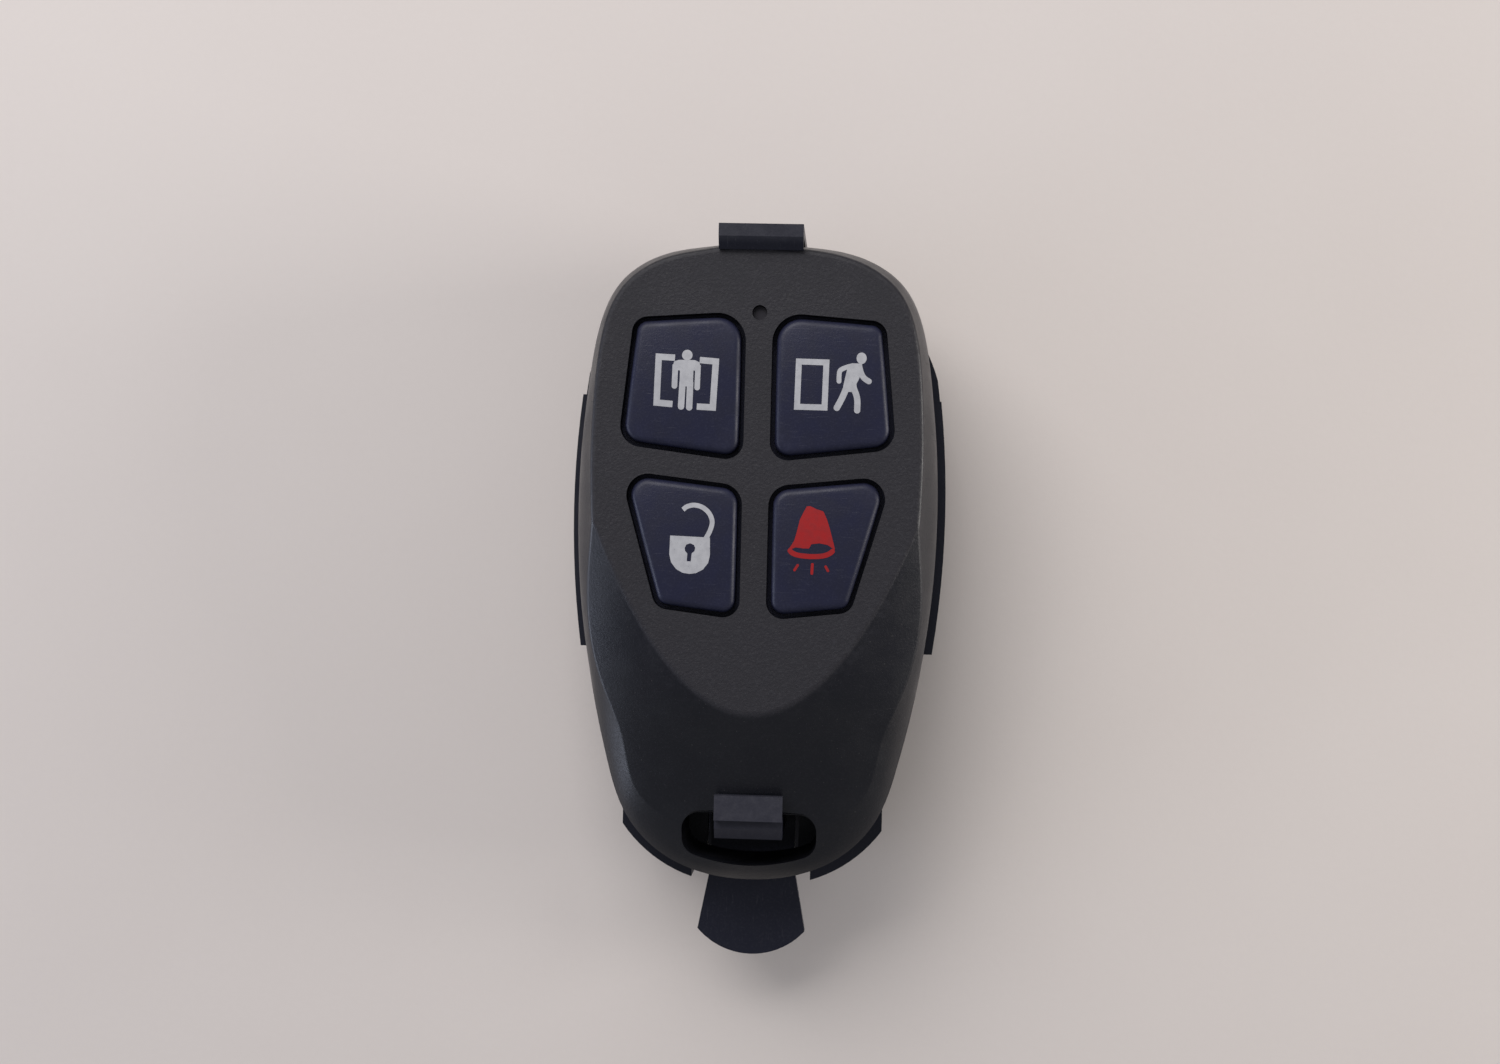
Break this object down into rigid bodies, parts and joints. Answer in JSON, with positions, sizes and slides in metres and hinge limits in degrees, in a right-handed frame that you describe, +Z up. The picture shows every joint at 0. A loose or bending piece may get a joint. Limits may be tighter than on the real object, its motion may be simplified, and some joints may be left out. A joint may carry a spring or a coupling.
{
  "type": "alarm remote control",
  "caption": "Egg-shaped alarm key fob with domed press keys, seated in a holster with a top hook, side walls, a thumb release finger and a sprung belt clip leaf",
  "frame": {"origin": "middle of the bounding box in X and Y, on the outer face of the belt clip leaf", "axes": "+Z is up, out of the key face; +Y runs to the hook end; +X is to the right when the keys are read"},
  "size_m": [0.0338, 0.0662, 0.0206],
  "materials": {
    "case_plastic": "fine moulded texture",
    "key_plastic": "satin",
    "holster_plastic": "fine moulded texture",
    "mat_rubber": "matte",
    "seal_rubber": "matte",
    "light_pipe": "clear smoked",
    "led_package": "moulded",
    "board": "solder mask",
    "chip_body": "moulded",
    "plated_can": "plated",
    "tinned_copper": "tinned",
    "cell_steel": "brushed",
    "spring_metal": "plated",
    "screw_steel": "zinc plated",
    "switch_plastic": "moulded",
    "plunger_plastic": "moulded"
  },
  "bodies": {
    "holster_and_case": {"front_cover": "case_plastic", "rear_cover": "case_plastic", "case_seal": "seal_rubber", "keypad_mat": "mat_rubber", "led_light_pipe": "light_pipe", "status_led": "led_package", "circuit_board": "board", "microcontroller": "chip_body", "oscillator_can": "plated_can", "chip_passives": "chip_body", "loop_antenna": "tinned_copper", "coin_cell": "cell_steel", "battery_contact_negative": "spring_metal", "battery_contact_positive": "spring_metal", "case_screws": "screw_steel", "holster_plate": "holster_plastic", "switch_body_stay": "switch_plastic", "switch_body_away": "switch_plastic", "switch_body_disarm": "switch_plastic", "switch_body_panic": "switch_plastic"},
    "stay_key": {"key_stay": "key_plastic"},
    "stay_plunger": {"switch_plunger_stay": "plunger_plastic"},
    "away_key": {"key_away": "key_plastic"},
    "away_plunger": {"switch_plunger_away": "plunger_plastic"},
    "disarm_key": {"key_disarm": "key_plastic"},
    "disarm_plunger": {"switch_plunger_disarm": "plunger_plastic"},
    "panic_key": {"key_panic": "key_plastic"},
    "panic_plunger": {"switch_plunger_panic": "plunger_plastic"},
    "release_finger": {"release_finger": "holster_plastic"},
    "clip_leaf": {"belt_clip_leaf": "holster_plastic"}
  },
  "joints": [
    {"name": "stay_key_press", "type": "slide", "parent": "holster_and_case", "child": "stay_key", "axis": [0, 0, -1], "range_m": [0, 0.0004], "stiffness_N_per_m": 600, "springref_m": -0.0005},
    {"name": "stay_plunger_press", "type": "slide", "parent": "holster_and_case", "child": "stay_plunger", "axis": [0, 0, -1], "range_m": [0, 0.0004]},
    {"name": "away_key_press", "type": "slide", "parent": "holster_and_case", "child": "away_key", "axis": [0, 0, -1], "range_m": [0, 0.0004], "stiffness_N_per_m": 600, "springref_m": -0.0005},
    {"name": "away_plunger_press", "type": "slide", "parent": "holster_and_case", "child": "away_plunger", "axis": [0, 0, -1], "range_m": [0, 0.0004]},
    {"name": "disarm_key_press", "type": "slide", "parent": "holster_and_case", "child": "disarm_key", "axis": [0, 0, -1], "range_m": [0, 0.0004], "stiffness_N_per_m": 600, "springref_m": -0.0005},
    {"name": "disarm_plunger_press", "type": "slide", "parent": "holster_and_case", "child": "disarm_plunger", "axis": [0, 0, -1], "range_m": [0, 0.0004]},
    {"name": "panic_key_press", "type": "slide", "parent": "holster_and_case", "child": "panic_key", "axis": [0, 0, -1], "range_m": [0, 0.0004], "stiffness_N_per_m": 600, "springref_m": -0.0005},
    {"name": "panic_plunger_press", "type": "slide", "parent": "holster_and_case", "child": "panic_plunger", "axis": [0, 0, -1], "range_m": [0, 0.0004]},
    {"name": "release_finger_flex", "type": "hinge", "parent": "holster_and_case", "child": "release_finger", "pos_m": [0, -0.01625, 0.0068], "axis": [1, 0, 0], "range_deg": [0, 9], "stiffness_Nm_per_rad": 0.5},
    {"name": "clip_leaf_flex", "type": "hinge", "parent": "holster_and_case", "child": "clip_leaf", "pos_m": [0, 0.02815, 0.0008], "axis": [1, 0, 0], "range_deg": [0, 8], "stiffness_Nm_per_rad": 0.6}
  ],
  "couplings": [
    {"joint": "stay_plunger_press", "follows": "stay_key_press", "ratio": 1},
    {"joint": "away_plunger_press", "follows": "away_key_press", "ratio": 1},
    {"joint": "disarm_plunger_press", "follows": "disarm_key_press", "ratio": 1},
    {"joint": "panic_plunger_press", "follows": "panic_key_press", "ratio": 1}
  ]
}
